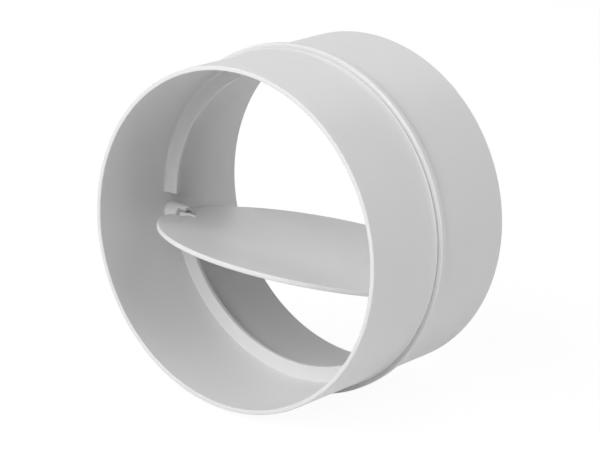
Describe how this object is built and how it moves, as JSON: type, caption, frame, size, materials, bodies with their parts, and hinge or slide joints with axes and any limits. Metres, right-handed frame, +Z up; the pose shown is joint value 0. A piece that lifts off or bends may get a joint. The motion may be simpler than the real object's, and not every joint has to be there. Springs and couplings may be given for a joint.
{
  "type": "backdraft damper",
  "caption": "Short round in-line duct connector with a middle bead and an off-centre pivoted blade that swings open with the air flow and shuts against backflow.",
  "frame": {"origin": "on the duct's centre line, in the plane at the foot of the bead where the duct pushed on from the front stops", "axes": "+Y along the duct, the way the air flows, from the front spigot to the rear one; +Z up, away from the hinge, which lies below the centre line; +X along the hinge, to the right seen from the front"},
  "size_m": [0.1032, 0.0928, 0.1032],
  "materials": {
    "housing_plastic": "satin moulded",
    "blade_plastic": "satin moulded"
  },
  "bodies": {
    "housing": {"housing": "housing_plastic"},
    "blade": {"damper_blade": "blade_plastic"}
  },
  "joints": [
    {"name": "blade_swing", "type": "hinge", "parent": "housing", "child": "blade", "pos_m": [0, 0.00325, -0.01036], "axis": [1, 0, 0], "range_deg": [0, 98.25]}
  ]
}
